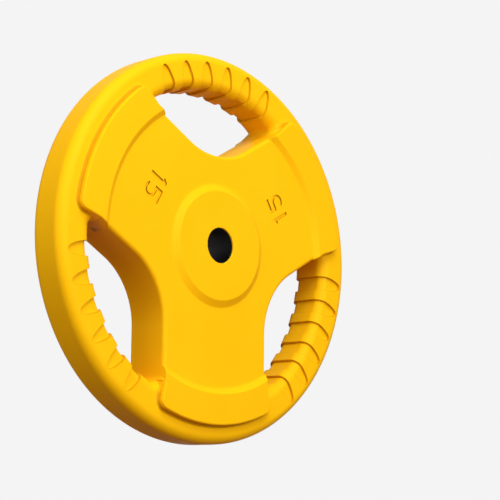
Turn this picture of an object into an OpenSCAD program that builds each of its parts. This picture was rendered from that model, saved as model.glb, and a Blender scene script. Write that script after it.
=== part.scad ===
// Rubber coated weight plate with three spokes and three hand grips.
// An iron casting is lined with a steel bush and wrapped in a moulded rubber
// jacket of two halves, which meet half way through the rim.
// It stands upright: the bore runs along Y, the front faces -Y and the origin
// is the middle of the bore.

/* [Plate] */
// Diameter over the rubber
plate_d = 340; // [330:1:360]
// Width over the hub and the raised pads
plate_w = 51; // [49:0.5:54]
// Width over the recessed faces of the spokes
web_w = 44; // [42:0.5:46]
// Width of the rim
rim_w = 38.4; // [36:0.2:40]
// Depth of the rim from its outside to the grip holes
rim_depth = 32; // [30:0.5:34]
// Radius on the outside edges of the rim
rim_outer_round = 9; // [7:0.5:11]
// Radius on the edges of the rim that the hand holds
rim_inner_round = 9.5; // [7.5:0.5:11]

/* [Hub] */
// Diameter of the bore
bore_d = 30; // [25:0.5:32]
// Diameter of the flat face round the bore
hub_d = 95; // [85:1:105]
// Run of the slopes that lead up to the hub and the pads
slope_run = 6; // [4:0.5:8]
// Wall of the steel bush
bush_wall = 4; // [3:0.5:6]
// Rubber that covers each end of the bush
bush_cover = 1.5; // [1:0.5:3]
// Radial room round the bar in the rubber, beyond the bush
cover_clearance = 0.4; // [0.2:0.1:1]
// Radial gap between bush and core, nil where it is pressed in
press_gap = 0; // [0:0.01:0.03]

/* [Spokes and grip holes] */
// Width of each spoke
spoke_w = 120; // [112:1:126]
// Radius of each grip hole towards the hub
hole_hub_round = 66; // [50:1:72]
// Radius of each grip hole in the corners at the rim
hole_rim_round = 6; // [4:0.5:9]

/* [Pads] */
// Distance from the outside of the plate to the pads
pad_margin = 16; // [14:0.5:18]
// Length of each pad's flat face along its spoke
pad_run = 26.5; // [24:0.5:30]
// Angle at which the sides of a pad spread
pad_flare = 12; // [6:1:14]
// Radius of the pads' outer corners
pad_corner_round = 7; // [6.5:0.5:9]

/* [Finger grooves] */
// Grooves in each grip
groove_count = 6; // [3:1:6]
// Spacing of the grooves along the grip
groove_pitch = 21.9; // [20:0.1:23]
// Width of a groove
groove_w = 12.4; // [10:0.1:14]
// Depth of a groove
groove_depth = 2.2; // [1.5:0.1:2.6]
// Length of a groove across the face of the rim
groove_reach = 24.3; // [21:0.1:25]
// Radius of the sides of a groove on the face of the rim
groove_side_round = 50; // [40:1:70]

/* [Weight number] */
// Height of the digits
digit_h = 19; // [14:0.5:22]
// Width of the round digit
digit_w = 13; // [11:0.5:15]
// Width of the digits' strokes
digit_stroke = 2.8; // [2:0.1:3.2]
// Depth of the digits
digit_depth = 1; // [0.4:0.1:1.2]
// Gap between the two digits
digit_gap = 6; // [4:0.5:9]
// Distance from the bore to the middle of the digits
digit_place = 84.5; // [80:0.5:90]

/* [Core] */
// Thickness of the rubber over the iron
skin = 6; // [4:0.5:6]

/* [Hidden] */
$fn = 96;
spoke_angles = [30, 150, 270];
hole_angles = [0, 120, 240];
digit_angles = [30, 150];
plate_r = plate_d / 2;
grip_r = plate_r - rim_depth;
bore_r = bore_d / 2;
bush_r = bore_r + bush_wall;
bush_half = plate_w / 2 - bush_cover;
spoke_half = spoke_w / 2;
slope_rise = (plate_w - web_w) / 2;
slope_angle = atan(slope_rise / slope_run);
pad_outer_r = plate_r - pad_margin;
pad_inner_r = pad_outer_r - pad_run;
// The plate that joins the spokes to the rim ends in the middle of the rim's flat face
overlap_r = (grip_r + rim_inner_round + plate_r - rim_outer_round) / 2;
// Distance of a grip hole's hub arc from the bore
hub_arc_place = (spoke_half + hole_hub_round) / cos(30);
// Distance along the spoke at which a grip hole's corner arc begins
corner_run = sqrt(pow(grip_r - hole_rim_round, 2) - pow(spoke_half + hole_rim_round, 2));
// A pad's side begins to spread where the corner arc has left the spoke
flare_start = corner_run + 0.6 * hole_rim_round;
groove_half = groove_w / 2;
groove_angle = 2 * asin(groove_pitch / 2 / grip_r);
// A groove keeps its full width half way over the rim's rounded edge
groove_straight = rim_inner_round / 2;
groove_bend = groove_reach - groove_straight;
groove_tip = (pow(groove_side_round, 2) - pow(groove_side_round - groove_half, 2) - pow(groove_bend, 2))
    / (2 * (groove_side_round - groove_bend));
digit_bowl = digit_w / 2;
digit_bar = digit_h - 2 * digit_bowl;
far = plate_d;
rubber_colour = "gold";

// Point at a distance along a direction and a distance to its left
function along(angle, run, across) = [
    run * cos(angle) - across * sin(angle),
    run * sin(angle) + across * cos(angle)
];

// Sideways shift of a slope whose surface is set back
function slope_shift(inset) = inset * tan(slope_angle / 2);

// Middle of a pad's rounded corner, along and across its spoke
function pad_corner() =
    let (
        inner = [flare_start + pad_corner_round * sin(pad_flare), spoke_half - pad_corner_round * cos(pad_flare)],
        dir = [cos(pad_flare), sin(pad_flare)],
        mid = inner * dir,
        reach = pad_outer_r - pad_corner_round,
        step = -mid + sqrt(mid * mid - inner * inner + reach * reach)
    )
    inner + step * dir;

// Half of the outline of the grip hole above the hub, open towards the rim
module half_hole(inset) {
    line = spoke_half - inset;
    corner = along(30, corner_run, spoke_half + hole_rim_round);
    polygon([
        [0, hub_arc_place],
        along(30, (spoke_half + hole_hub_round) * tan(30), line),
        along(30, corner_run, line),
        corner,
        corner * 2,
        [0, far]
    ]);
    translate(corner)
        circle(r = hole_rim_round + inset);
}

// Outline of the grip hole above the hub, open towards the rim
module open_hole(inset) {
    half_hole(inset);
    mirror([1, 0])
        half_hole(inset);
    translate([0, hub_arc_place])
        circle(r = hole_hub_round + inset);
}

// Disc with the three grip holes cut out of it
module spoke_plate(half, reach, inset) {
    linear_extrude(2 * half, center = true)
        difference() {
            circle(r = reach);
            for (angle = hole_angles)
                rotate(angle)
                    open_hole(inset);
        }
}

// Half of the outline of the pad on the spoke along X
module half_pad(inset) {
    corner = pad_corner();
    intersection() {
        circle(r = pad_outer_r - inset);
        polygon([
            [pad_inner_r - slope_run - inset, 0],
            [pad_inner_r - slope_run - inset, spoke_half - inset],
            [flare_start, spoke_half - inset],
            corner + (pad_corner_round - inset) * [-sin(pad_flare), cos(pad_flare)],
            corner,
            corner * 2,
            [far, 0]
        ]);
    }
    translate(corner)
        circle(r = pad_corner_round - inset);
}

// The raised pads on both faces
module pads(inset) {
    level = plate_w / 2 - inset;
    low = web_w / 2 - inset;
    top_r = pad_inner_r + slope_shift(inset);
    difference() {
        for (angle = spoke_angles)
            rotate(angle)
                linear_extrude(2 * level, center = true) {
                    half_pad(inset);
                    mirror([0, 1])
                        half_pad(inset);
                }
        for (side = [0, 1])
            mirror([0, 0, side])
                translate([0, 0, low])
                    cylinder(h = slope_rise, r1 = top_r - slope_run, r2 = top_r);
    }
}

// The raised hub on both faces
module hub(inset) {
    low = web_w / 2 - inset;
    top_r = hub_d / 2 - slope_shift(inset);
    cylinder(h = 2 * low, r = top_r, center = true);
    for (side = [0, 1])
        mirror([0, 0, side])
            translate([0, 0, low])
                cylinder(h = slope_rise, r1 = top_r + slope_run, r2 = top_r);
}

// One rounded corner of the rim's section, as the piece that it loses
module corner_loss(round_r) {
    difference() {
        square(round_r);
        circle(r = round_r);
    }
}

// The ring of the rim with its rounded edges
module rim_ring(inset) {
    half = rim_w / 2 - inset;
    inner = grip_r + inset;
    outer = plate_r - inset;
    inner_round = rim_inner_round - inset;
    outer_round = rim_outer_round - inset;
    rotate_extrude()
        difference() {
            translate([inner, -half])
                square([outer - inner, 2 * half]);
            for (side = [0, 1])
                mirror([0, side]) {
                    translate([inner + inner_round, half - inner_round])
                        mirror([1, 0])
                            corner_loss(inner_round);
                    translate([outer - outer_round, half - outer_round])
                        corner_loss(outer_round);
                }
        }
}

// Outline of one finger groove in the grip above the hub
module groove_outline() {
    side = groove_side_round - groove_half;
    tip_place = grip_r + groove_reach - groove_tip;
    bend_place = grip_r + groove_straight;
    bend_end = groove_side_round * (tip_place - bend_place) / (groove_side_round - groove_tip);
    translate([-groove_half, grip_r - rim_inner_round])
        square([groove_w, rim_inner_round + groove_straight]);
    intersection() {
        translate([-side, bend_place])
            circle(r = groove_side_round);
        translate([side, bend_place])
            circle(r = groove_side_round);
        translate([-groove_half, bend_place])
            square([groove_w, bend_end]);
    }
    translate([0, tip_place])
        circle(r = groove_tip);
}

// The rim with finger grooves in its three grips
module grooved_rim() {
    rim_ring(groove_depth);
    difference() {
        rim_ring(0);
        linear_extrude(plate_w, center = true)
            for (angle = hole_angles, index = [0 : groove_count - 1])
                rotate(angle + (index - (groove_count - 1) / 2) * groove_angle)
                    groove_outline();
    }
}

// Spokes, hub and pads, set back from the outside of the rubber
module spokes(inset) {
    spoke_plate(rim_w / 2 - inset, overlap_r, inset);
    spoke_plate(web_w / 2 - inset, pad_inner_r + slope_run, inset);
    hub(inset);
    pads(inset);
}

// Outside of the iron casting
module core_form() {
    rim_ring(skin);
    spokes(skin);
}

// The digit one, with its foot on the X axis
module digit_one() {
    square([digit_stroke, digit_h]);
    translate([-digit_stroke, digit_h - 1.6 * digit_stroke])
        polygon([[0, 0], [digit_stroke, 0], [digit_stroke, 1.6 * digit_stroke]]);
}

// The digit five, with its foot on the X axis
module digit_five() {
    difference() {
        union() {
            translate([digit_bowl, digit_bowl])
                circle(r = digit_bowl);
            translate([0, digit_bowl])
                square([digit_bowl, digit_bowl]);
        }
        translate([digit_bowl, digit_bowl])
            circle(r = digit_bowl - digit_stroke);
        translate([0, digit_bowl])
            square([digit_bowl, digit_bowl - digit_stroke]);
        translate([-1, digit_bowl / 2])
            square([digit_bowl + 1, digit_bowl / 2]);
    }
    translate([0, 2 * digit_bowl - digit_stroke])
        square([digit_stroke, digit_bar + digit_stroke]);
    translate([0, digit_h - digit_stroke])
        square([digit_w, digit_stroke]);
}

// The weight number, read with its head towards the hub
module weight_number() {
    for (angle = digit_angles)
        rotate(angle)
            translate([digit_place, 0, web_w / 2 - digit_depth])
                rotate(90)
                    translate([-(2 * digit_stroke + digit_gap + digit_w) / 2, -digit_h / 2])
                        linear_extrude(plate_w) {
                            translate([digit_stroke, 0])
                                digit_one();
                            translate([2 * digit_stroke + digit_gap, 0])
                                digit_five();
                        }
}

// Half of the rubber jacket in front of the middle of the rim
module rubber_half() {
    difference() {
        union() {
            grooved_rim();
            spokes(0);
        }
        core_form();
        cylinder(h = 2 * bush_half, r = bush_r, center = true);
        cylinder(h = far, r = bore_r + cover_clearance, center = true);
        translate([-far, -far, -far])
            cube([2 * far, 2 * far, far]);
    }
}

// Turns a piece that lies on its back upright, with its face to -Y
module upright() {
    rotate([90, 0, 0])
        children();
}

// Iron casting that carries the weight
module iron_core() {
    color("dimgray")
        upright()
            difference() {
                core_form();
                cylinder(h = far, r = bush_r + press_gap, center = true);
            }
}

// Steel bush pressed into the casting
module bore_bush() {
    color("silver")
        upright()
            difference() {
                cylinder(h = 2 * bush_half, r = bush_r, center = true);
                cylinder(h = far, r = bore_r, center = true);
            }
}

// Front half of the rubber jacket, with the weight number
module front_rubber() {
    color(rubber_colour)
        upright()
            difference() {
                rubber_half();
                weight_number();
            }
}

// Back half of the rubber jacket
module back_rubber() {
    color(rubber_colour)
        upright()
            mirror([0, 0, 1])
                rubber_half();
}

iron_core();
bore_bush();
front_rubber();
back_rubber();
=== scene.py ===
import math

import bmesh
import bpy
from mathutils import Matrix, Vector


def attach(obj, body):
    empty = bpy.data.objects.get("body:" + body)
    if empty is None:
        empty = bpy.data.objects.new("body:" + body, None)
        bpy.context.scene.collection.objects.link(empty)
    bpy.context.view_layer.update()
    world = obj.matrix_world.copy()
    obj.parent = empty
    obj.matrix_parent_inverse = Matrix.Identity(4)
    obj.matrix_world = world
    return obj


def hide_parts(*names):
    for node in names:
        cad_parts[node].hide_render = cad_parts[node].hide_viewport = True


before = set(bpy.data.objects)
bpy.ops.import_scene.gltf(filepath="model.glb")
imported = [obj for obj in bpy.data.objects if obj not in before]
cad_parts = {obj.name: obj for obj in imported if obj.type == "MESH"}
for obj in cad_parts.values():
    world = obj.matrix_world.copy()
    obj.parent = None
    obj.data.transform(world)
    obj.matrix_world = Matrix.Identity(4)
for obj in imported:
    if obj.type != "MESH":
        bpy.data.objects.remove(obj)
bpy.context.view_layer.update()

# Iron casting
# The casting carries the weight: ring, three spokes and hub in one piece of grey iron, poured in sand.
# It is left as cast, with a dark grainy skin, and the rubber jacket is moulded round it on all sides.
grain_group = bpy.data.node_groups.new("surface_grain", "ShaderNodeTree")
for socket_name, socket_kind, socket_value in (
    ("Grain size", "NodeSocketFloat", 400.0),
    ("Patch size", "NodeSocketFloat", 20.0),
    ("Patch strength", "NodeSocketFloat", 0.5),
):
    socket = grain_group.interface.new_socket(socket_name, in_out="INPUT", socket_type=socket_kind)
    socket.default_value = socket_value
for socket_name in ("Height", "Patches"):
    grain_group.interface.new_socket(socket_name, in_out="OUTPUT", socket_type="NodeSocketFloat")
grain_in = grain_group.nodes.new("NodeGroupInput")
grain_out = grain_group.nodes.new("NodeGroupOutput")
grain_place = grain_group.nodes.new("ShaderNodeTexCoord")
fine_noise = grain_group.nodes.new("ShaderNodeTexNoise")
fine_noise.inputs["Detail"].default_value = 3.0
wide_noise = grain_group.nodes.new("ShaderNodeTexNoise")
wide_noise.inputs["Detail"].default_value = 2.0
patch_part = grain_group.nodes.new("ShaderNodeMath")
patch_part.operation = "MULTIPLY"
grain_sum = grain_group.nodes.new("ShaderNodeMath")
grain_sum.operation = "ADD"
for start, end in (
    (grain_place.outputs["Object"], fine_noise.inputs["Vector"]),
    (grain_place.outputs["Object"], wide_noise.inputs["Vector"]),
    (grain_in.outputs["Grain size"], fine_noise.inputs["Scale"]),
    (grain_in.outputs["Patch size"], wide_noise.inputs["Scale"]),
    (wide_noise.outputs["Fac"], patch_part.inputs[0]),
    (grain_in.outputs["Patch strength"], patch_part.inputs[1]),
    (fine_noise.outputs["Fac"], grain_sum.inputs[0]),
    (patch_part.outputs[0], grain_sum.inputs[1]),
    (grain_sum.outputs[0], grain_out.inputs["Height"]),
    (wide_noise.outputs["Fac"], grain_out.inputs["Patches"]),
):
    grain_group.links.new(start, end)


def grained_material(name, dark, light, rough_low, rough_high, bump_depth, grain_size, patch_size):
    """Material whose colour and roughness follow soft patches, with a fine grain raised on it."""
    material = bpy.data.materials.new(name)
    material.use_nodes = True
    nodes = material.node_tree.nodes
    links = material.node_tree.links
    shader = nodes["Principled BSDF"]
    grain = nodes.new("ShaderNodeGroup")
    grain.node_tree = grain_group
    grain.inputs["Grain size"].default_value = grain_size
    grain.inputs["Patch size"].default_value = patch_size
    colours = nodes.new("ShaderNodeValToRGB")
    colours.color_ramp.elements[0].position = 0.35
    colours.color_ramp.elements[0].color = (*dark, 1.0)
    colours.color_ramp.elements[1].position = 0.65
    colours.color_ramp.elements[1].color = (*light, 1.0)
    rough = nodes.new("ShaderNodeMapRange")
    rough.inputs["From Min"].default_value = 0.3
    rough.inputs["From Max"].default_value = 0.7
    rough.inputs["To Min"].default_value = rough_low
    rough.inputs["To Max"].default_value = rough_high
    bump = nodes.new("ShaderNodeBump")
    bump.inputs["Distance"].default_value = bump_depth
    bump.inputs["Strength"].default_value = 1.0
    links.new(grain.outputs["Patches"], colours.inputs["Fac"])
    links.new(colours.outputs["Color"], shader.inputs["Base Color"])
    links.new(grain.outputs["Patches"], rough.inputs["Value"])
    links.new(rough.outputs["Result"], shader.inputs["Roughness"])
    links.new(grain.outputs["Height"], bump.inputs["Height"])
    links.new(bump.outputs["Normal"], shader.inputs["Normal"])
    return material


def dress(piece, material):
    """Puts one material on a piece."""
    piece.data.materials.clear()
    piece.data.materials.append(material)


cast_iron = grained_material(
    "cast_iron", (0.018, 0.018, 0.019), (0.032, 0.031, 0.031), 0.62, 0.78, 0.00025, 900.0, 60.0
)
cast_iron.node_tree.nodes["Principled BSDF"].inputs["Metallic"].default_value = 0.6
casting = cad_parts["iron_core"]
dress(casting, cast_iron)

# Bore bush
# The bush is a length of steel tube, turned and blackened, that takes the wear of the bar.
# It is pressed into the casting, and the jacket covers its two ends.
blackened_steel = grained_material(
    "blackened_steel", (0.020, 0.020, 0.022), (0.034, 0.034, 0.037), 0.36, 0.5, 0.00004, 1500.0, 45.0
)
blackened_steel.node_tree.nodes["Principled BSDF"].inputs["Metallic"].default_value = 0.85
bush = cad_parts["bore_bush"]
dress(bush, blackened_steel)

# Rim of the jacket
# The rim is the round grip ring of the plate, moulded in yellow rubber over the iron ring.
# It is modelled lying flat, face up, as the plate lies in its mould: its section is spun round the bore.
voxel = 0.0005
rim_outer = 0.170
rim_inner = 0.138
rim_half = 0.0192
rim_outer_round = 0.009
rim_inner_round = 0.0095
rim_steps = 288


def begin():
    """Leaves edit mode with nothing selected, ready for the next piece."""
    if bpy.context.object and bpy.context.object.mode != "OBJECT":
        bpy.ops.object.mode_set(mode="OBJECT")
    bpy.ops.object.select_all(action="DESELECT")


def edit(name=None):
    """Names the new piece and opens it for editing, all selected."""
    if name:
        bpy.context.object.name = name
        bpy.context.object.data.name = name
    bpy.ops.object.mode_set(mode="EDIT")
    bpy.ops.mesh.select_all(action="SELECT")


def pick(kind, test):
    """Selects the vertices, edges or faces whose points all pass the test, and counts them."""
    bpy.ops.mesh.select_mode(type=kind)
    bpy.ops.mesh.select_all(action="DESELECT")
    mesh = bmesh.from_edit_mesh(bpy.context.object.data)
    found = 0
    for item in {"VERT": mesh.verts, "EDGE": mesh.edges, "FACE": mesh.faces}[kind]:
        points = [item.co] if kind == "VERT" else [v.co for v in item.verts]
        if all(test(p) for p in points):
            item.select = True
            found += 1
    mesh.select_flush_mode()
    bmesh.update_edit_mesh(bpy.context.object.data)
    return found


def close(merge=1e-6):
    """Merges doubles, turns all faces outwards and leaves edit mode."""
    bpy.ops.mesh.select_all(action="SELECT")
    bpy.ops.mesh.remove_doubles(threshold=merge)
    bpy.ops.mesh.normals_make_consistent(inside=False)
    bpy.ops.object.mode_set(mode="OBJECT")
    return bpy.context.object


def spun_ring(name, inset):
    """The rim's ring, set back all round by inset."""
    inner, outer, half = rim_inner + inset, rim_outer - inset, rim_half - inset
    begin()
    bpy.ops.mesh.primitive_plane_add(size=1, rotation=(math.pi / 2, 0, 0))
    bpy.ops.object.transform_apply(location=True, rotation=True, scale=True)
    edit(name)
    bpy.ops.transform.resize(value=(outer - inner, 1, 2 * half), center_override=(0, 0, 0))
    bpy.ops.transform.translate(value=((inner + outer) / 2, 0, 0))
    middle = (inner + outer) / 2
    pick("VERT", lambda p: p.x > middle)
    bpy.ops.mesh.bevel(offset=rim_outer_round - inset, segments=12, affect="VERTICES")
    pick("VERT", lambda p: p.x < inner + 1e-5)
    bpy.ops.mesh.bevel(offset=rim_inner_round - inset, segments=12, affect="VERTICES")
    bpy.ops.mesh.select_all(action="SELECT")
    bpy.ops.mesh.delete(type="ONLY_FACE")
    bpy.ops.mesh.select_all(action="SELECT")
    bpy.ops.mesh.spin(steps=rim_steps, angle=2 * math.pi, center=(0, 0, 0), axis=(0, 0, 1))
    return close(1e-5)


jacket = spun_ring("jacket", 0.0)

# Spokes of the jacket
# Three wide spokes run from the hub to the rim, with three grip holes between them.
# They are one flat plate with rounded edges, a little thicker than the rim; the holes' corners are rounded.
spoke_half = 0.060
web_half = 0.022
rim_overlap = 0.160
web_reach = 0.1335
hub_arc = 0.066
hole_corner_round = 0.006
spoke_edge_round = 0.0035


def keep_beyond(normal, distance):
    """Cuts the open piece by an upright plane and keeps what lies beyond it."""
    bpy.ops.mesh.select_all(action="SELECT")
    bpy.ops.mesh.bisect(
        plane_co=(normal[0] * distance, normal[1] * distance, 0.0),
        plane_no=(normal[0], normal[1], 0.0),
        use_fill=True,
        clear_inner=True,
    )


def pick_upright(place, nearest, farthest, least_radius=0.0):
    """Selects the upright edges that stand between two distances from place, outside a radius."""
    bpy.ops.mesh.select_mode(type="EDGE")
    bpy.ops.mesh.select_all(action="DESELECT")
    mesh = bmesh.from_edit_mesh(bpy.context.object.data)
    for each in mesh.edges:
        foot, head = each.verts[0].co, each.verts[1].co
        away = math.hypot(foot.x - place[0], foot.y - place[1])
        if abs(head.z - foot.z) > 0.01 and nearest <= away < farthest:
            each.select = math.hypot(foot.x, foot.y) > least_radius
    bmesh.update_edit_mesh(bpy.context.object.data)


def round_upright(place, tangent, segments, profile=0.5):
    """Rounds the upright edge at place, and first clears short facets of the arc beside it."""
    arc_radius = math.hypot(*place) - 0.0004
    pick_upright(place, 0.0004, tangent + 0.0008, arc_radius)
    bpy.ops.mesh.dissolve_edges()
    pick_upright(place, 0.0, 0.0004)
    bpy.ops.mesh.bevel(offset=tangent, segments=segments, profile=profile, affect="EDGES")


def combine(piece, tool, operation, keep_tool=False):
    """Joins the tool to the piece, or cuts it out, as solids."""
    begin()
    bpy.context.view_layer.objects.active = piece
    piece.select_set(True)
    bpy.ops.object.modifier_add(type="BOOLEAN")
    modifier = piece.modifiers[-1]
    modifier.operation = operation
    modifier.solver = "MANIFOLD"
    modifier.object = tool
    bpy.ops.object.modifier_apply(modifier=modifier.name)
    if not keep_tool:
        bpy.data.objects.remove(tool)
    return piece


# One grip hole, above the hub: a sector between two spokes, with its arc towards the hub
begin()
bpy.ops.mesh.primitive_cylinder_add(vertices=120, radius=rim_inner, depth=0.08)
edit("grip_hole")
slant = math.radians(30)
keep_beyond((-math.sin(slant), math.cos(slant)), spoke_half)
keep_beyond((math.sin(slant), math.cos(slant)), spoke_half)
spoke_run = math.sqrt(rim_inner ** 2 - spoke_half ** 2)
hole_corner = (
    spoke_run * math.cos(slant) - spoke_half * math.sin(slant),
    spoke_run * math.sin(slant) + spoke_half * math.cos(slant),
)
corner_tangent = 0.00956
for side in (1, -1):
    round_upright((side * hole_corner[0], hole_corner[1]), corner_tangent, 10, 0.46)
round_upright((0.0, spoke_half / math.cos(slant)), hub_arc * math.tan(slant), 32, 0.536)
bpy.ops.mesh.select_all(action="SELECT")
bpy.ops.mesh.spin(steps=2, dupli=True, angle=math.radians(240), center=(0, 0, 0), axis=(0, 0, 1))
grip_holes = close()


def spoke_plate(name, reach, half, edge_round, segments):
    """A disc with the three grip holes, with the holes' edges rounded on both faces."""
    begin()
    bpy.ops.mesh.primitive_cylinder_add(vertices=240, radius=reach, depth=2 * half)
    bpy.context.object.name = name
    plate = combine(bpy.context.object, grip_holes, "DIFFERENCE", keep_tool=True)
    edit()
    bpy.ops.mesh.dissolve_limited(angle_limit=math.radians(0.2))
    pick("EDGE", lambda p: abs(abs(p.z) - half) < 1e-5 and math.hypot(p.x, p.y) < reach - 1e-4)
    mesh = bmesh.from_edit_mesh(bpy.context.object.data)
    for each in mesh.edges:
        if each.select and each.calc_face_angle(0.0) < math.radians(60):
            each.select = False
    bmesh.update_edit_mesh(bpy.context.object.data)
    bpy.ops.mesh.bevel(offset=edge_round, segments=segments, affect="EDGES")
    return close()


low_plate = spoke_plate("low_plate", rim_overlap, rim_half, rim_inner_round, 10)
high_plate = spoke_plate("high_plate", web_reach, web_half, spoke_edge_round, 6)
bpy.data.objects.remove(grip_holes)
combine(jacket, low_plate, "UNION")
combine(jacket, high_plate, "UNION")

# Hub of the jacket
# A flat raised disc stands round the bore on both faces, where clips and the next plate bear.
# It rises from the spokes with a short slope.
raised_half = 0.0255
hub_top = 0.0475
slope_run = 0.006
begin()
bpy.ops.mesh.primitive_cylinder_add(vertices=240, radius=hub_top + slope_run, depth=2 * web_half)
edit("hub")
for side in (1, -1):
    pick("FACE", lambda p: side * p.z > web_half - 1e-5)
    bpy.ops.mesh.extrude_region_move(
        TRANSFORM_OT_translate={"value": (0, 0, side * (raised_half - web_half))}
    )
    shrink = hub_top / (hub_top + slope_run)
    bpy.ops.transform.resize(value=(shrink, shrink, 1), center_override=(0, 0, 0))
combine(jacket, close(), "UNION")

# Pads of the jacket
# A raised pad crosses the outer end of each spoke on both faces, level with the hub.
# A slope leads up to it from the spoke, its sides spread towards the rim and its outer corners are rounded.
pad_top_inner = 0.1275
pad_slope_run = 0.005
pad_outer = 0.154
pad_flare = math.radians(12)
flare_start = 0.1179
pad_corner_round = 0.007
pad_corner_tangent = 0.0056
pad_edge_round = 0.0014
pad_angle = math.radians(35)


def pad_sector(name):
    """The pad's section, spun over a wide angle about the spoke along X."""
    begin()
    bpy.ops.mesh.primitive_plane_add(size=1, rotation=(math.pi / 2, 0, 0))
    bpy.ops.object.transform_apply(location=True, rotation=True, scale=True)
    edit(name)
    foot = pad_top_inner - pad_slope_run
    bpy.ops.transform.resize(value=(pad_outer - foot, 1, 2 * web_half), center_override=(0, 0, 0))
    bpy.ops.transform.translate(value=((foot + pad_outer) / 2, 0, 0))
    for side in (1, -1):
        pick("EDGE", lambda p: side * p.z > web_half - 1e-5)
        bpy.ops.mesh.extrude_region_move(
            TRANSFORM_OT_translate={"value": (0, 0, side * (raised_half - web_half))}
        )
        pick("VERT", lambda p: side * p.z > raised_half - 1e-5 and p.x < foot + 1e-5)
        bpy.ops.transform.translate(value=(pad_slope_run, 0, 0))
    bpy.ops.mesh.select_all(action="SELECT")
    bpy.ops.transform.rotate(value=pad_angle, orient_axis="Z", center_override=(0, 0, 0))
    start = bpy.context.object.data
    mesh = bmesh.from_edit_mesh(start)
    turn = 1 if sum(v.co.y for v in mesh.verts) > 0 else -1
    bpy.ops.mesh.spin(steps=72, angle=turn * 2 * pad_angle, center=(0, 0, 0), axis=(0, 0, 1))
    bpy.ops.mesh.select_all(action="SELECT")
    bpy.ops.mesh.remove_doubles(threshold=1e-6)


def even_out():
    """Turns the faces outwards and makes one face of each flat side."""
    bpy.ops.mesh.select_all(action="SELECT")
    bpy.ops.mesh.normals_make_consistent(inside=False)
    bpy.ops.mesh.dissolve_limited(angle_limit=math.radians(0.2))


def round_pad_edges():
    """Rounds the pad's upper edges, but not the crest of its slope."""
    pick("EDGE", lambda p: abs(p.z) > raised_half - 1e-5 and math.hypot(p.x, p.y) > pad_top_inner - 1e-4)
    mesh = bmesh.from_edit_mesh(bpy.context.object.data)
    for each in mesh.edges:
        crest = all(math.hypot(v.co.x, v.co.y) < pad_top_inner + 1e-4 for v in each.verts)
        if each.select and (crest or each.calc_face_angle(0.0) < math.radians(60)):
            each.select = False
    bmesh.update_edit_mesh(bpy.context.object.data)
    bpy.ops.mesh.bevel(offset=pad_edge_round, segments=4, affect="EDGES")


pad_sector("pad_root")
keep_beyond((0.0, 1.0), -spoke_half)
keep_beyond((0.0, -1.0), -spoke_half)
even_out()
round_pad_edges()
pad_root = close()

pad_sector("pad_end")
flare_line = spoke_half - flare_start * math.tan(pad_flare)
flare_reach = flare_line * math.cos(pad_flare)
keep_beyond((math.sin(pad_flare), math.cos(pad_flare)), -flare_reach)
keep_beyond((math.sin(pad_flare), -math.cos(pad_flare)), -flare_reach)
even_out()
corner_run = math.sqrt(pad_outer ** 2 - flare_reach ** 2)
for side in (1, -1):
    place = (
        corner_run * math.cos(pad_flare) - flare_reach * math.sin(pad_flare),
        side * (corner_run * math.sin(pad_flare) + flare_reach * math.cos(pad_flare)),
    )
    round_upright(place, pad_corner_tangent, 10)
round_pad_edges()
pad_end = close()

for angle in (30, 150, 270):
    for part in (pad_root, pad_end):
        begin()
        bpy.context.view_layer.objects.active = part
        part.select_set(True)
        bpy.ops.object.duplicate()
        turned = bpy.context.object
        turned.rotation_euler = (0, 0, math.radians(angle))
        bpy.ops.object.transform_apply(location=True, rotation=True, scale=True)
        combine(jacket, turned, "UNION")
bpy.data.objects.remove(pad_root)
bpy.data.objects.remove(pad_end)

# Curing of the jacket
# The rubber is cured in one skin round the casting, so every edge and inside corner is slightly soft.
# The solids are melted into one even surface and smoothed, and a hollow fillet grows at the foot of each pad.
bore_clear = 0.0154
soft_turns = 4
foot_turns = 60
foot_reach = 0.0060


def finish_with(piece, kind, **settings):
    """Adds one modifier to the piece and applies it."""
    begin()
    bpy.context.view_layer.objects.active = piece
    piece.select_set(True)
    bpy.ops.object.modifier_add(type=kind)
    modifier = piece.modifiers[-1]
    for key, value in settings.items():
        setattr(modifier, key, value)
    bpy.ops.object.modifier_apply(modifier=modifier.name)


begin()
bpy.ops.mesh.primitive_cylinder_add(vertices=128, radius=bore_clear, depth=0.08)
combine(jacket, bpy.context.object, "DIFFERENCE")
finish_with(jacket, "REMESH", mode="VOXEL", voxel_size=voxel, adaptivity=0.0)
finish_with(jacket, "SMOOTH", factor=0.5, iterations=soft_turns)


def ramp(value, start, end):
    """Rises from 0 at start to 1 at end."""
    return min(1.0, max(0.0, (value - start) / (end - start)))


foot_group = jacket.vertex_groups.new(name="pad_foot")
for point in jacket.data.vertices:
    reach, height = math.hypot(point.co.x, point.co.y), abs(point.co.z)
    if reach < 0.127 or reach > pad_outer + foot_reach or height < 0.010 or height > 0.0252:
        continue
    turn = (math.degrees(math.atan2(point.co.y, point.co.x)) - 30) % 120
    turn = math.radians(min(turn, 120 - turn))
    side_gap = reach * math.sin(turn) * math.cos(pad_flare) - reach * math.cos(turn) * math.sin(pad_flare) - flare_reach
    end_gap = reach - pad_outer
    if side_gap > -pad_corner_round and end_gap > -pad_corner_round:
        gap = math.hypot(side_gap + pad_corner_round, end_gap + pad_corner_round) - pad_corner_round
    else:
        gap = max(side_gap, end_gap)
    if gap < -0.0012:
        continue
    share = ramp(gap, foot_reach, foot_reach - 0.003) * ramp(height, 0.0248, 0.0236)
    share *= ramp(reach * math.cos(turn), 0.127, 0.134) * ramp(height, 0.010, 0.014)
    if share > 0.0:
        foot_group.add([point.index], share, "REPLACE")
finish_with(jacket, "SMOOTH", factor=0.5, iterations=foot_turns, vertex_group="pad_foot")
finish_with(jacket, "TRIANGULATE")
finish_with(jacket, "DECIMATE", ratio=min(1.0, 600000 / len(jacket.data.polygons)))
grip_group = jacket.vertex_groups.new(name="grips")
grip_points = []
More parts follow.
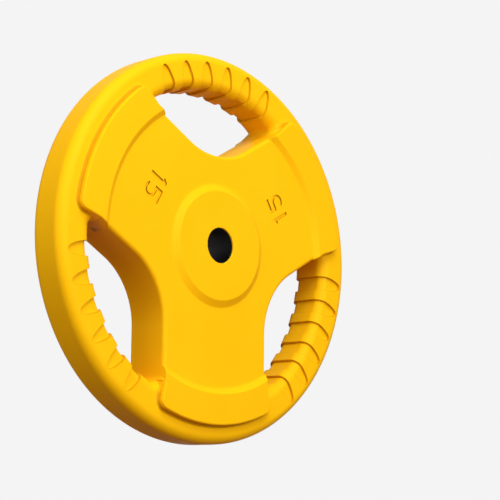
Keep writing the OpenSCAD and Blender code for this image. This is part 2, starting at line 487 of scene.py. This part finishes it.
for point in jacket.data.vertices:
    reach = math.hypot(point.co.x, point.co.y)
    if 0.137 < reach < 0.1655:
        turn = (math.degrees(math.atan2(point.co.y, point.co.x)) - 90) % 120
        if min(turn, 120 - turn) < 29.5:
            grip_points.append(point.index)
grip_group.add(grip_points, 1.0, "REPLACE")
finish_with(
    jacket, "DECIMATE", ratio=min(1.0, 368000 / len(jacket.data.polygons)),
    vertex_group="grips", invert_vertex_group=True, vertex_group_factor=0.0,
)

# Finger grooves of the jacket
# Six grooves for the fingers cross the inside of the rim in each grip, from face to face.
# The mould cuts them to one depth: their floors follow the rim's surface, and they end in a rounded tip.
groove_count = 6
groove_half = 0.0062
groove_length = 0.0208
groove_straight = 0.0035
groove_depth = 0.0022
groove_angle = 2 * math.asin(0.0219 / 2 / rim_inner)


def number_faces(piece, kind):
    """Gives all faces of a piece a material slot: 0 for skin, 1 and 2 for groove walls and cut floors, 3 for digit walls."""
    while len(piece.data.materials) < 4:
        piece.data.materials.append(None)
    for each in piece.data.polygons:
        each.material_index = kind


begin()
bpy.ops.mesh.primitive_cylinder_add(vertices=96, radius=1, depth=1)
edit("grooves")
bpy.ops.transform.resize(value=(groove_half, groove_length, 0.06), center_override=(0, 0, 0))
keep_beyond((0.0, 1.0), 0.0)
pick("FACE", lambda p: p.y < 1e-6)
bpy.ops.mesh.extrude_region_move(TRANSFORM_OT_translate={"value": (0, -0.0105, 0)})
bpy.ops.mesh.select_all(action="SELECT")
bpy.ops.transform.translate(value=(0, rim_inner + groove_straight, 0))
bpy.ops.object.mode_set(mode="OBJECT")
bpy.context.object.rotation_euler = (0, 0, (groove_count - 1) / 2 * groove_angle)
bpy.ops.object.transform_apply(location=True, rotation=True, scale=True)
edit()
bpy.ops.mesh.spin(
    steps=groove_count - 1, dupli=True, angle=(groove_count - 1) * groove_angle, center=(0, 0, 0), axis=(0, 0, 1)
)
bpy.ops.mesh.select_all(action="SELECT")
bpy.ops.mesh.spin(steps=2, dupli=True, angle=math.radians(240), center=(0, 0, 0), axis=(0, 0, 1))
grooves = close()
number_faces(grooves, 1)
groove_floor = spun_ring("groove_floor", groove_depth)
number_faces(groove_floor, 2)
combine(grooves, groove_floor, "DIFFERENCE")
number_faces(jacket, 0)
combine(jacket, grooves, "DIFFERENCE")

# A fine line of painted shade darkens the rubber along each groove's outline; its mask is worked out from the place on
# the plate
painted_shade_group = bpy.data.node_groups.new("painted_crease_shade", "ShaderNodeTree")
shade_width = painted_shade_group.interface.new_socket("Width", in_out="INPUT", socket_type="NodeSocketFloat")
shade_width.default_value = 0.0007
for socket_name in ("Groove line", "Pad line"):
    painted_shade_group.interface.new_socket(socket_name, in_out="OUTPUT", socket_type="NodeSocketFloat")
shade_in = painted_shade_group.nodes.new("NodeGroupInput")
shade_out = painted_shade_group.nodes.new("NodeGroupOutput")
shade_place = painted_shade_group.nodes.new("ShaderNodeTexCoord")
shade_parts = painted_shade_group.nodes.new("ShaderNodeSeparateXYZ")
painted_shade_group.links.new(shade_place.outputs["Object"], shade_parts.inputs[0])


def step_of(operation, *values):
    """One step of arithmetic in the mask, on numbers or on the outputs of other steps."""
    step = painted_shade_group.nodes.new("ShaderNodeMath")
    step.operation = operation
    for socket, value in zip(step.inputs, values):
        if isinstance(value, (int, float)):
            socket.default_value = value
        else:
            painted_shade_group.links.new(value, socket)
    return step.outputs[0]


def length_of(first, second):
    """Length of the long side of a right triangle."""
    return step_of("SQRT", step_of("ADD", step_of("MULTIPLY", first, first), step_of("MULTIPLY", second, second)))


shade_x, shade_z = shade_parts.outputs["X"], shade_parts.outputs["Z"]
shade_reach = length_of(shade_x, shade_z)
shade_angle = step_of("SUBTRACT", step_of("ARCTAN2", shade_z, shade_x), math.pi / 2)
shade_angle = step_of("WRAP", shade_angle, math.pi / 3, -math.pi / 3)
shade_count = step_of("FLOOR", step_of("DIVIDE", shade_angle, groove_angle))
shade_count = step_of("MINIMUM", step_of("MAXIMUM", shade_count, -groove_count / 2), groove_count / 2 - 1)
shade_turn = step_of("SUBTRACT", shade_angle, step_of("MULTIPLY", step_of("ADD", shade_count, 0.5), groove_angle))
shade_side = step_of("DIVIDE", step_of("MULTIPLY", shade_reach, step_of("SINE", shade_turn)), groove_half)
shade_along = step_of("SUBTRACT", step_of("MULTIPLY", shade_reach, step_of("COSINE", shade_turn)), rim_inner + groove_straight)
shade_along = step_of("DIVIDE", step_of("MAXIMUM", shade_along, 0.0), groove_length)
shade_form = length_of(shade_side, shade_along)
shade_steep = length_of(step_of("DIVIDE", shade_side, groove_half), step_of("DIVIDE", shade_along, groove_length))
shade_gap = step_of("ABSOLUTE", step_of("SUBTRACT", shade_form, 1.0))
shade_gap = step_of("DIVIDE", step_of("MULTIPLY", shade_gap, shade_form), shade_steep)
shade_line = step_of("SUBTRACT", 1.0, step_of("DIVIDE", shade_gap, shade_in.outputs["Width"]))
shade_line = step_of("MAXIMUM", shade_line, 0.0)
shade_line = step_of("MULTIPLY", shade_line, step_of("GREATER_THAN", shade_reach, rim_inner - 0.0008))
shade_rise = step_of("MULTIPLY_ADD", shade_reach, 0.4 / 0.005, 0.6 - 0.4 / 0.005 * rim_inner)
shade_line = step_of("MULTIPLY", shade_line, step_of("MINIMUM", step_of("MAXIMUM", shade_rise, 0.0), 1.0))
painted_shade_group.links.new(shade_line, shade_out.inputs["Groove line"])

# The same painted shade darkens the corner at the foot of each pad, in a band outside the pad's outline
foot_angle = step_of("SUBTRACT", step_of("ARCTAN2", shade_z, shade_x), math.pi / 6)
foot_angle = step_of("ABSOLUTE", step_of("WRAP", foot_angle, math.pi / 3, -math.pi / 3))
foot_across = step_of("MULTIPLY", shade_reach, step_of("SINE", foot_angle))
foot_along = step_of("MULTIPLY", shade_reach, step_of("COSINE", foot_angle))
foot_side = step_of("MULTIPLY_ADD", foot_along, -math.sin(pad_flare), pad_corner_round - flare_reach)
foot_side = step_of("MULTIPLY_ADD", foot_across, math.cos(pad_flare), foot_side)
foot_end = step_of("ADD", shade_reach, pad_corner_round - pad_outer)
foot_gap = length_of(step_of("MAXIMUM", foot_side, 0.0), step_of("MAXIMUM", foot_end, 0.0))
foot_gap = step_of("ADD", foot_gap, step_of("MINIMUM", step_of("MAXIMUM", foot_side, foot_end), 0.0))
foot_gap = step_of("SUBTRACT", foot_gap, pad_corner_round)
foot_line = step_of("MULTIPLY_ADD", foot_gap, -1 / 0.0010, 0.0027 / 0.0010)
foot_line = step_of("MINIMUM", step_of("MAXIMUM", foot_line, 0.0), 1.0)
foot_start = step_of("MULTIPLY_ADD", step_of("ABSOLUTE", shade_parts.outputs["Y"]), -1 / 0.0014, 0.0226 / 0.0014)
foot_line = step_of("MULTIPLY", foot_line, step_of("MINIMUM", step_of("MAXIMUM", foot_start, 0.0), 1.0))
foot_rise = step_of("MULTIPLY_ADD", shade_reach, 1 / 0.006, -(rim_inner + 0.001) / 0.006)
foot_line = step_of("MULTIPLY", foot_line, step_of("MINIMUM", step_of("MAXIMUM", foot_rise, 0.0), 1.0))
painted_shade_group.links.new(foot_line, shade_out.inputs["Pad line"])

# Hollow of the jacket
# The rubber encloses the casting and the ends of the bush, with a little room round the bar at both faces.
# The finished jacket is stood upright, with its front to -Y, and hollowed for what it encloses.
bush_radius = 0.019
bush_half = 0.024
begin()
bpy.context.view_layer.objects.active = jacket
jacket.select_set(True)
jacket.rotation_euler = (math.pi / 2, 0, 0)
bpy.ops.object.transform_apply(location=True, rotation=True, scale=True)

begin()
bpy.context.view_layer.objects.active = casting
casting.select_set(True)
bpy.ops.object.duplicate()
hollow = bpy.context.object
hollow.parent = None
hollow.name = "hollow"
edit()
close(1e-6)
combine(jacket, hollow, "DIFFERENCE")
begin()
bpy.ops.mesh.primitive_cylinder_add(
    vertices=128, radius=bush_radius, depth=2 * bush_half, rotation=(math.pi / 2, 0, 0)
)
bpy.ops.object.transform_apply(location=True, rotation=True, scale=True)
combine(jacket, bpy.context.object, "DIFFERENCE")

# Weight number
# The plate's weight is sunk into the two upper spokes of the front, with its head towards the hub.
# It is cut in the mould, with one depth and plain strokes.
digit_height = 0.019
digit_width = 0.013
digit_stroke = 0.0028
digit_depth = 0.0014
digit_gap = 0.006
digit_place = 0.0845
digit_bowl = digit_width / 2
number_left = -(2 * digit_stroke + digit_gap + digit_width) / 2
number_foot = -digit_height / 2
digit_floor = web_half - digit_depth


def bar(left, foot, width, height):
    """A straight stroke of a digit, as a block with its lower left corner at left and foot."""
    begin()
    bpy.ops.mesh.primitive_cube_add(size=1)
    edit("stroke")
    bpy.ops.transform.resize(value=(width, height, 0.01), center_override=(0, 0, 0))
    bpy.ops.transform.translate(value=(left + width / 2, foot + height / 2, digit_floor + 0.005))
    bpy.ops.object.mode_set(mode="OBJECT")
    return bpy.context.object


# The digit one: an upright and a small flag, pulled out of the upright's side
one_left = number_left + digit_stroke
number = bar(one_left, number_foot, digit_stroke, digit_height)
number.name = "number"
flag_foot = digit_height / 2 - 1.6 * digit_stroke
flag = bar(one_left - digit_stroke, flag_foot, 1.5 * digit_stroke, 1.6 * digit_stroke)
edit()
pick("VERT", lambda p: p.x < one_left - 0.5 * digit_stroke and p.y > flag_foot + digit_stroke)
bpy.ops.transform.translate(value=(digit_stroke, 0, 0))
bpy.ops.object.mode_set(mode="OBJECT")
combine(number, flag, "UNION")

# The digit five: a ring opened on its left, a stem and a top stroke
five_left = number_left + 2 * digit_stroke + digit_gap
bowl_middle = number_foot + digit_bowl
begin()
bpy.ops.mesh.primitive_cylinder_add(
    vertices=64, radius=digit_bowl, depth=0.01, location=(five_left + digit_bowl, bowl_middle, digit_floor + 0.005)
)
bowl = bpy.context.object
bpy.ops.object.transform_apply(location=True, rotation=True, scale=True)
combine(bowl, bar(five_left, bowl_middle, digit_bowl, digit_bowl), "UNION")
begin()
bpy.ops.mesh.primitive_cylinder_add(
    vertices=64, radius=digit_bowl - digit_stroke, depth=0.03,
    location=(five_left + digit_bowl, bowl_middle, digit_floor),
)
bpy.ops.object.transform_apply(location=True, rotation=True, scale=True)
combine(bowl, bpy.context.object, "DIFFERENCE")
for left, foot, width, height in (
    (five_left - 0.001, bowl_middle - 0.001, digit_bowl + 0.001, digit_bowl - digit_stroke + 0.001),
    (five_left - 0.001, bowl_middle - digit_bowl / 2, digit_bowl + 0.001, digit_bowl / 2),
):
    gap = bar(left, foot, width, height)
    edit()
    bpy.ops.transform.resize(value=(1, 1, 3), center_override=(0, 0, digit_floor))
    bpy.ops.object.mode_set(mode="OBJECT")
    combine(bowl, gap, "DIFFERENCE")
combine(number, bowl, "UNION")
stem_foot = number_foot + 2 * digit_bowl - digit_stroke
combine(number, bar(five_left, stem_foot, digit_stroke, digit_height / 2 - stem_foot), "UNION")
combine(number, bar(five_left, digit_height / 2 - digit_stroke, digit_width, digit_stroke), "UNION")
number_faces(number, 3)
for each in number.data.polygons:
    if abs(each.normal.z) > 0.9:
        each.material_index = 2

# Two halves of the jacket
# The mould has two halves that meet half way through the rim, and so has the jacket.
# The rubber is coloured through in a warm yellow and comes out of a polished mould with a satin skin.
parting = {"front_jacket": -1, "back_jacket": 1}
yellow_rubber = grained_material(
    "yellow_rubber", (0.950, 0.520, 0.0030), (0.975, 0.542, 0.0038), 0.44, 0.52, 0.00003, 1400.0, 14.0
)
rubber_shader = yellow_rubber.node_tree.nodes["Principled BSDF"]
rubber_shader.inputs["Specular IOR Level"].default_value = 0.05
rubber_tree = yellow_rubber.node_tree
painted_shade = rubber_tree.nodes.new("ShaderNodeGroup")
painted_shade.node_tree = painted_shade_group
rubber_colour = rubber_tree.nodes["Color Ramp"].outputs["Color"]
# Each mask mixes a darker rubber colour into the skin: painted shade along the groove outlines and round the pads' feet
for line_name, line_colour in (("Pad line", (0.64, 0.315, 0.002, 1.0)), ("Groove line", (0.70, 0.375, 0.002, 1.0))):
    shade_mix = rubber_tree.nodes.new("ShaderNodeMix")
    shade_mix.data_type = "RGBA"
    shade_mix.inputs["B"].default_value = line_colour
    rubber_tree.links.new(painted_shade.outputs[line_name], shade_mix.inputs["Factor"])
    rubber_tree.links.new(rubber_colour, shade_mix.inputs["A"])
    rubber_colour = shade_mix.outputs["Result"]
rubber_tree.links.new(rubber_colour, rubber_shader.inputs["Base Color"])
# The digit walls get a darker copy of the rubber: painted shade inside the cut strokes
shaded_wall_rubber = grained_material(
    "shaded_wall_rubber", (0.40, 0.170, 0.0020), (0.44, 0.190, 0.0025), 0.5, 0.58, 0.00003, 1400.0, 14.0
)
shaded_wall_rubber.node_tree.nodes["Principled BSDF"].inputs["Specular IOR Level"].default_value = 0.05


def shade(piece):
    """Smooths the shading, but keeps the outlines of what was cut into the piece crisp."""
    bpy.ops.object.shade_smooth_by_angle(angle=math.radians(38))
    mesh = bmesh.new()
    mesh.from_mesh(piece.data)
    for each in mesh.edges:
        if len({face.material_index for face in each.link_faces}) > 1:
            each.smooth = False
    mesh.to_mesh(piece.data)
    mesh.free()
    finish_with(piece, "WEIGHTED_NORMAL", mode="FACE_AREA", weight=50, keep_sharp=True)


for name, side in parting.items():
    begin()
    bpy.context.view_layer.objects.active = jacket
    jacket.select_set(True)
    bpy.ops.object.duplicate()
    half = bpy.context.object
    half.name = name
    half.data.name = name
    begin()
    bpy.ops.mesh.primitive_cube_add(size=1, location=(0, -side * 0.5, 0))
    bpy.ops.object.transform_apply(location=True, rotation=True, scale=True)
    combine(half, bpy.context.object, "DIFFERENCE")
    if name == "front_jacket":
        for angle in (30, 150):
            begin()
            bpy.context.view_layer.objects.active = number
            number.select_set(True)
            bpy.ops.object.duplicate()
            turned = bpy.context.object
            lay = Matrix.Rotation(math.radians(angle), 4, "Z") @ Matrix.Translation((digit_place, 0, 0))
            lay = lay @ Matrix.Rotation(math.radians(90), 4, "Z")
            turned.matrix_world = Matrix.Rotation(math.pi / 2, 4, "X") @ lay
            bpy.ops.object.transform_apply(location=True, rotation=True, scale=True)
            combine(half, turned, "DIFFERENCE")
    begin()
    bpy.context.view_layer.objects.active = half
    half.select_set(True)
    shade(half)
    for place, rubber in enumerate((yellow_rubber, yellow_rubber, yellow_rubber, shaded_wall_rubber)):
        half.data.materials[place] = rubber
    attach(half, "root")
    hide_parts("front_rubber" if name == "front_jacket" else "back_rubber")
bpy.data.objects.remove(jacket)
bpy.data.objects.remove(number)

# Floor, background, light and camera
# A pale floor lies under the plate, which hangs clear of it as on a bar, before an even pale background.
# One large soft lamp on the left in front gives the shape, a small one above it the shadows, with a low even fill.
floor_level = -0.30
begin()
bpy.ops.mesh.primitive_circle_add(vertices=128, radius=2.6, fill_type="NGON", location=(0, 0, floor_level))
floor = bpy.context.object
floor.name = "floor"
pale_floor = bpy.data.materials.new("pale_floor")
pale_floor.use_nodes = True
floor_shader = pale_floor.node_tree.nodes["Principled BSDF"]
floor_shader.inputs["Roughness"].default_value = 0.9
floor_shader.inputs["Specular IOR Level"].default_value = 0.1
floor_rays = pale_floor.node_tree.nodes.new("ShaderNodeLightPath")
floor_seen = pale_floor.node_tree.nodes.new("ShaderNodeMath")
floor_seen.operation = "MAXIMUM"
floor_colour = pale_floor.node_tree.nodes.new("ShaderNodeMix")
floor_colour.data_type = "RGBA"
floor_colour.inputs["A"].default_value = (0.15, 0.05, 0.015, 1.0)
floor_colour.inputs["B"].default_value = (0.86, 0.86, 0.86, 1.0)
floor_seen_all = pale_floor.node_tree.nodes.new("ShaderNodeMath")
floor_seen_all.operation = "MAXIMUM"
floor_links = pale_floor.node_tree.links
floor_links.new(floor_rays.outputs["Is Camera Ray"], floor_seen.inputs[0])
floor_links.new(floor_rays.outputs["Is Glossy Ray"], floor_seen.inputs[1])
floor_links.new(floor_seen.outputs[0], floor_seen_all.inputs[0])
floor_links.new(floor_rays.outputs["Is Transmission Ray"], floor_seen_all.inputs[1])
floor_links.new(floor_seen_all.outputs[0], floor_colour.inputs["Factor"])
floor_links.new(floor_colour.outputs["Result"], floor_shader.inputs["Base Color"])
floor.data.materials.append(pale_floor)

world = bpy.data.worlds.new("studio")
bpy.context.scene.world = world
world.use_nodes = True
sky = world.node_tree
sky.nodes.clear()
rays = sky.nodes.new("ShaderNodeLightPath")
seen = sky.nodes.new("ShaderNodeMath")
seen.operation = "MAXIMUM"
seen_all = sky.nodes.new("ShaderNodeMath")
seen_all.operation = "MAXIMUM"
sky_place = sky.nodes.new("ShaderNodeTexCoord")
sky_front = sky.nodes.new("ShaderNodeVectorMath")
sky_front.operation = "DOT_PRODUCT"
sky_front.inputs[1].default_value = Vector((0.0, -0.3, 1.0)).normalized()
sky_range = sky.nodes.new("ShaderNodeMapRange")
sky_range.inputs["From Min"].default_value = -1.0
sky_colours = sky.nodes.new("ShaderNodeValToRGB")
sky_colours.color_ramp.elements[0].position = 0.35
sky_colours.color_ramp.elements[0].color = (0.0, 0.0, 0.0, 1.0)
sky_colours.color_ramp.elements[1].position = 0.95
sky_colours.color_ramp.elements[1].color = (0.46, 0.39, 0.30, 1.0)
fill = sky.nodes.new("ShaderNodeBackground")
fill.inputs["Strength"].default_value = 1.0
sky.links.new(sky_place.outputs["Generated"], sky_front.inputs[0])
sky.links.new(sky_front.outputs["Value"], sky_range.inputs["Value"])
sky.links.new(sky_range.outputs["Result"], sky_colours.inputs["Fac"])
sky.links.new(sky_colours.outputs["Color"], fill.inputs["Color"])
backdrop = sky.nodes.new("ShaderNodeBackground")
backdrop.inputs["Color"].default_value = (0.905, 0.905, 0.905, 1.0)
backdrop.inputs["Strength"].default_value = 1.0
mix = sky.nodes.new("ShaderNodeMixShader")
out = sky.nodes.new("ShaderNodeOutputWorld")
sky.links.new(rays.outputs["Is Camera Ray"], seen.inputs[0])
sky.links.new(rays.outputs["Is Glossy Ray"], seen.inputs[1])
sky.links.new(seen.outputs[0], seen_all.inputs[0])
sky.links.new(rays.outputs["Is Transmission Ray"], seen_all.inputs[1])
sky.links.new(seen_all.outputs[0], mix.inputs[0])
sky.links.new(fill.outputs[0], mix.inputs[1])
sky.links.new(backdrop.outputs[0], mix.inputs[2])
sky.links.new(mix.outputs[0], out.inputs["Surface"])

for lamp_name, way, away, size, power in (
    ("front_lamp", (0.00, -0.98, 0.10), 2.0, 1.6, 21.3),
    ("left_lamp", (-0.45, -0.78, 0.45), 2.0, 1.4, 11.7),
    ("high_lamp", (-0.25, -0.55, 0.80), 2.0, 1.0, 17.6),
    ("side_lamp", (-0.97, -0.12, 0.20), 2.0, 1.6, 13.4),
):
    lamp_way = Vector(way).normalized()
    lamp_data = bpy.data.lights.new(lamp_name, "AREA")
    lamp_data.shape = "DISK"
    lamp_data.size = size
    lamp_data.energy = power
    lamp = bpy.data.objects.new(lamp_name, lamp_data)
    bpy.context.scene.collection.objects.link(lamp)
    lamp.location = lamp_way * away
    lamp.rotation_euler = lamp_way.to_track_quat("Z", "Y").to_euler()

# The camera stands low on the plate's left, 1.35 m away, and looks slightly up at it
azimuth, elevation, distance = math.radians(-43.30), math.radians(-8.82), 1.3491
roll, yaw, pitch = math.radians(0.53), math.radians(1.84), math.radians(-0.03)
stand = distance * Vector((
    math.sin(azimuth) * math.cos(elevation),
    -math.cos(azimuth) * math.cos(elevation),
    math.sin(elevation),
))
ahead = -stand.normalized()
right = ahead.cross(Vector((0, 0, 1))).normalized()
up = right.cross(ahead)
ahead = (ahead + math.tan(yaw) * right + math.tan(pitch) * up).normalized()
right = ahead.cross(Vector((0, 0, 1))).normalized()
up = right.cross(ahead)
right, up = (
    math.cos(roll) * right + math.sin(roll) * up,
    math.cos(roll) * up - math.sin(roll) * right,
)
camera_data = bpy.data.cameras.new("camera")
camera_data.lens = 1546.0 / 500.0 * 36.0
camera_data.sensor_width = 36.0
camera_data.clip_start = 0.05
camera_data.clip_end = 20.0
camera = bpy.data.objects.new("camera", camera_data)
bpy.context.scene.collection.objects.link(camera)
turn = Matrix((right, up, -ahead)).transposed().to_4x4()
turn.translation = stand
camera.matrix_world = turn
bpy.context.scene.camera = camera
bpy.context.scene.view_settings.view_transform = "Standard"
